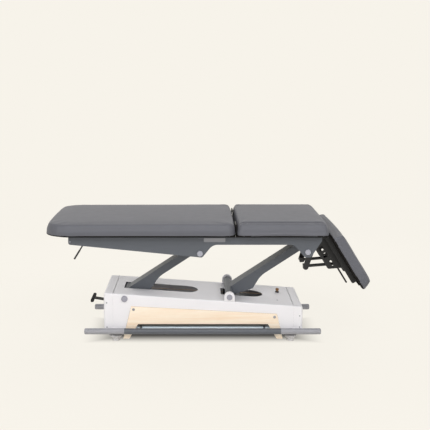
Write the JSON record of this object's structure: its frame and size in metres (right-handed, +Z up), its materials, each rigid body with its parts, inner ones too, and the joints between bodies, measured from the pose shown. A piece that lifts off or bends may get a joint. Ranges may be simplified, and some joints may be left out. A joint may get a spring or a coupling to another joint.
{
  "type": "physiotherapy table",
  "caption": "Padded treatment couch on a motor-driven parallelogram lift, with a tilting long section, a drooping head section and castors lowered by a pedal",
  "frame": {"origin": "on the floor under the middle of the table's bounding box", "axes": "+X along the couch towards the head section, +Y away from the near side with the release levers, +Z up"},
  "size_m": [1.8226, 0.6902, 0.7119],
  "materials": {
    "grey leatherette": "soft satin vinyl",
    "dark grey painted steel": "satin powder coat",
    "light grey painted steel": "satin powder coat",
    "birch plywood": "clear lacquer",
    "black board": "matt black stain",
    "polished steel": "mirror polish",
    "black painted steel": "satin powder coat",
    "bright steel": "ground",
    "light grey plastic": "moulded",
    "mid grey plastic": "moulded",
    "black plastic": "moulded, fine texture",
    "black rubber": "moulded",
    "pale label plate": "matt anodised"
  },
  "bodies": {
    "base": {"chassis": "black painted steel", "base_cover": "light grey painted steel", "left_end_cover": "light grey painted steel", "right_end_cover": "light grey painted steel", "near_birch_panel": "birch plywood", "far_birch_panel": "birch plywood", "casing_screws": "bright steel", "polished_tubes": "polished steel", "base_pivot_shafts": "bright steel", "base_pivot_caps": "light grey plastic", "bearing_brackets": "light grey painted steel", "levelling_feet": "light grey plastic", "control_box": "black plastic", "mains_inlet": "black plastic", "key_switch": "black plastic", "lift_actuator": "black plastic"},
    "key": {"key": "bright steel"},
    "pedal": {"pedal_stem": "black painted steel", "pedal_tread": "black rubber"},
    "castor_carriage": {"castor_carriage": "black painted steel"},
    "near_foot_control": {"near_foot_bar": "dark grey painted steel", "near_foot_bar_ends": "mid grey plastic"},
    "far_foot_control": {"far_foot_bar": "dark grey painted steel", "far_foot_bar_ends": "mid grey plastic"},
    "actuator_rod": {"actuator_rod": "bright steel"},
    "left_arm": {"left_lift_arm": "dark grey painted steel"},
    "right_arm": {"right_lift_arm": "dark grey painted steel"},
    "top_frame": {"near_side_plate": "dark grey painted steel", "far_side_plate": "dark grey painted steel", "frame_cross_members": "black painted steel", "upper_pivot_shafts": "bright steel", "frame_caps": "light grey plastic", "bare_plate": "pale label plate", "mid_board": "black board", "mid_cushion": "grey leatherette", "frame_hinge_leaves": "black painted steel", "head_hangers": "dark grey painted steel"},
    "long_section": {"long_board": "black board", "long_cushion": "grey leatherette", "long_subframe": "black painted steel", "long_hinge_leaves": "black painted steel"},
    "long_lever": {"long_release_lever": "black painted steel"},
    "gas_cylinder": {"gas_spring_cylinder": "black painted steel"},
    "gas_rod": {"gas_spring_rod": "bright steel"},
    "head_section": {"head_board": "black board", "head_cushion": "grey leatherette", "head_frame": "black painted steel"},
    "head_lever": {"head_release_lever": "black painted steel"},
    "near_strut_tube": {"near_strut_tube": "black painted steel"},
    "near_strut_rod": {"near_strut_rod": "bright steel"},
    "far_strut_tube": {"far_strut_tube": "black painted steel"},
    "far_strut_rod": {"far_strut_rod": "bright steel"},
    "near_left_castor": {"near_left_castor_fork": "black painted steel"},
    "near_left_wheel": {"near_left_castor_wheel": "black rubber"},
    "far_left_castor": {"far_left_castor_fork": "black painted steel"},
    "far_left_wheel": {"far_left_castor_wheel": "black rubber"},
    "near_right_castor": {"near_right_castor_fork": "black painted steel"},
    "near_right_wheel": {"near_right_castor_wheel": "black rubber"},
    "far_right_castor": {"far_right_castor_fork": "black painted steel"},
    "far_right_wheel": {"far_right_castor_wheel": "black rubber"}
  },
  "joints": [
    {"name": "lift", "type": "hinge", "parent": "base", "child": "left_arm", "pos_m": [-0.47832, 0, 0.25], "axis": [0, -1, 0], "range_deg": [-25, 34]},
    {"name": "right_arm_lift", "type": "hinge", "parent": "base", "child": "right_arm", "pos_m": [0.12568, 0, 0.258], "axis": [0, -1, 0], "range_deg": [-26, 35]},
    {"name": "frame_level", "type": "hinge", "parent": "left_arm", "child": "top_frame", "pos_m": [-0.04529, 0, 0.53499], "axis": [0, -1, 0], "range_deg": [-35, 26]},
    {"name": "actuator_stroke", "type": "slide", "parent": "base", "child": "actuator_rod", "axis": [1, 0, 0], "range_m": [-0.0411, 0.0555]},
    {"name": "long_tilt", "type": "hinge", "parent": "top_frame", "child": "long_section", "pos_m": [0.15671, 0, 0.69199], "axis": [0, 1, 0], "range_deg": [0, 60]},
    {"name": "long_lever_pull", "type": "hinge", "parent": "long_section", "child": "long_lever", "pos_m": [-0.67529, -0.25, 0.62199], "axis": [0, 1, 0], "range_deg": [0, 15], "stiffness_Nm_per_rad": 6},
    {"name": "gas_spring_swing", "type": "hinge", "parent": "top_frame", "child": "gas_cylinder", "pos_m": [0.44871, 0, 0.60199], "axis": [0, -1, 0], "range_deg": [-3.34, 1]},
    {"name": "gas_spring_stroke", "type": "slide", "parent": "gas_cylinder", "child": "gas_rod", "axis": [-0.9996, 0, 0.0294], "range_m": [-0.001, 0.0855]},
    {"name": "head_tilt", "type": "hinge", "parent": "top_frame", "child": "head_section", "pos_m": [0.67371, 0, 0.62899], "axis": [0, -1, 0], "range_deg": [0, 58.5]},
    {"name": "head_lever_pull", "type": "hinge", "parent": "head_section", "child": "head_lever", "pos_m": [0.76784, -0.118, 0.44859], "axis": [0, -1, 0], "range_deg": [0, 8], "stiffness_Nm_per_rad": 6},
    {"name": "near_strut_swing", "type": "hinge", "parent": "top_frame", "child": "near_strut_tube", "pos_m": [0.57371, -0.078, 0.41099], "axis": [0, -1, 0], "range_deg": [-1, 27.59]},
    {"name": "near_strut_stroke", "type": "slide", "parent": "near_strut_tube", "child": "near_strut_rod", "axis": [0.9966, 0, 0.0826], "range_m": [-0.001, 0.1863]},
    {"name": "near_foot_control_tip", "type": "hinge", "parent": "base", "child": "near_foot_control", "pos_m": [-0.00132, -0.172, 0.066], "axis": [1, 0, 0], "range_deg": [-4, 4], "stiffness_Nm_per_rad": 400},
    {"name": "far_strut_swing", "type": "hinge", "parent": "top_frame", "child": "far_strut_tube", "pos_m": [0.57371, 0.078, 0.41099], "axis": [0, -1, 0], "range_deg": [-1, 27.59]},
    {"name": "far_strut_stroke", "type": "slide", "parent": "far_strut_tube", "child": "far_strut_rod", "axis": [0.9966, 0, 0.0826], "range_m": [-0.001, 0.1863]},
    {"name": "far_foot_control_tip", "type": "hinge", "parent": "base", "child": "far_foot_control", "pos_m": [-0.00132, 0.172, 0.066], "axis": [1, 0, 0], "range_deg": [-4, 4], "stiffness_Nm_per_rad": 400},
    {"name": "castor_pedal_press", "type": "hinge", "parent": "base", "child": "pedal", "pos_m": [-0.57132, 0, 0.18], "axis": [0, -1, 0], "range_deg": [0, 20]},
    {"name": "castor_lowering", "type": "slide", "parent": "base", "child": "castor_carriage", "axis": [0, 0, -1], "range_m": [0, 0.0121]},
    {"name": "key_turn", "type": "hinge", "parent": "base", "child": "key", "pos_m": [0.42468, 0.06, 0.21259], "axis": [0.0696, 0, 0.9976], "range_deg": [0, 90]},
    {"name": "near_left_castor_swivel", "type": "hinge", "parent": "castor_carriage", "child": "near_left_castor", "pos_m": [-0.53032, -0.085, 0.0883], "axis": [0, 0, 1], "continuous": true},
    {"name": "near_left_wheel_roll", "type": "hinge", "parent": "near_left_castor", "child": "near_left_wheel", "pos_m": [-0.50832, -0.085, 0.038], "axis": [0, 1, 0], "continuous": true},
    {"name": "far_left_castor_swivel", "type": "hinge", "parent": "castor_carriage", "child": "far_left_castor", "pos_m": [-0.53032, 0.085, 0.0883], "axis": [0, 0, 1], "continuous": true},
    {"name": "far_left_wheel_roll", "type": "hinge", "parent": "far_left_castor", "child": "far_left_wheel", "pos_m": [-0.50832, 0.085, 0.038], "axis": [0, 1, 0], "continuous": true},
    {"name": "near_right_castor_swivel", "type": "hinge", "parent": "castor_carriage", "child": "near_right_castor", "pos_m": [0.47968, -0.085, 0.0883], "axis": [0, 0, 1], "continuous": true},
    {"name": "near_right_wheel_roll", "type": "hinge", "parent": "near_right_castor", "child": "near_right_wheel", "pos_m": [0.50168, -0.085, 0.038], "axis": [0, 1, 0], "continuous": true},
    {"name": "far_right_castor_swivel", "type": "hinge", "parent": "castor_carriage", "child": "far_right_castor", "pos_m": [0.47968, 0.085, 0.0883], "axis": [0, 0, 1], "continuous": true},
    {"name": "far_right_wheel_roll", "type": "hinge", "parent": "far_right_castor", "child": "far_right_wheel", "pos_m": [0.50168, 0.085, 0.038], "axis": [0, 1, 0], "continuous": true}
  ],
  "couplings": [
    {"joint": "right_arm_lift", "follows": "lift", "ratio": 1},
    {"joint": "frame_level", "follows": "lift", "ratio": -1},
    {"joint": "actuator_stroke", "follows": "lift", "m_per_rad": 0.091857},
    {"joint": "gas_spring_swing", "follows": "long_tilt", "ratio": -0.03905},
    {"joint": "gas_spring_stroke", "follows": "long_tilt", "m_per_rad": 0.080649},
    {"joint": "near_strut_swing", "follows": "head_tilt", "ratio": 0.45462},
    {"joint": "near_strut_stroke", "follows": "head_tilt", "m_per_rad": 0.18146},
    {"joint": "far_strut_swing", "follows": "head_tilt", "ratio": 0.45462},
    {"joint": "far_strut_stroke", "follows": "head_tilt", "m_per_rad": 0.18146},
    {"joint": "castor_lowering", "follows": "castor_pedal_press", "m_per_rad": 0.034377}
  ]
}
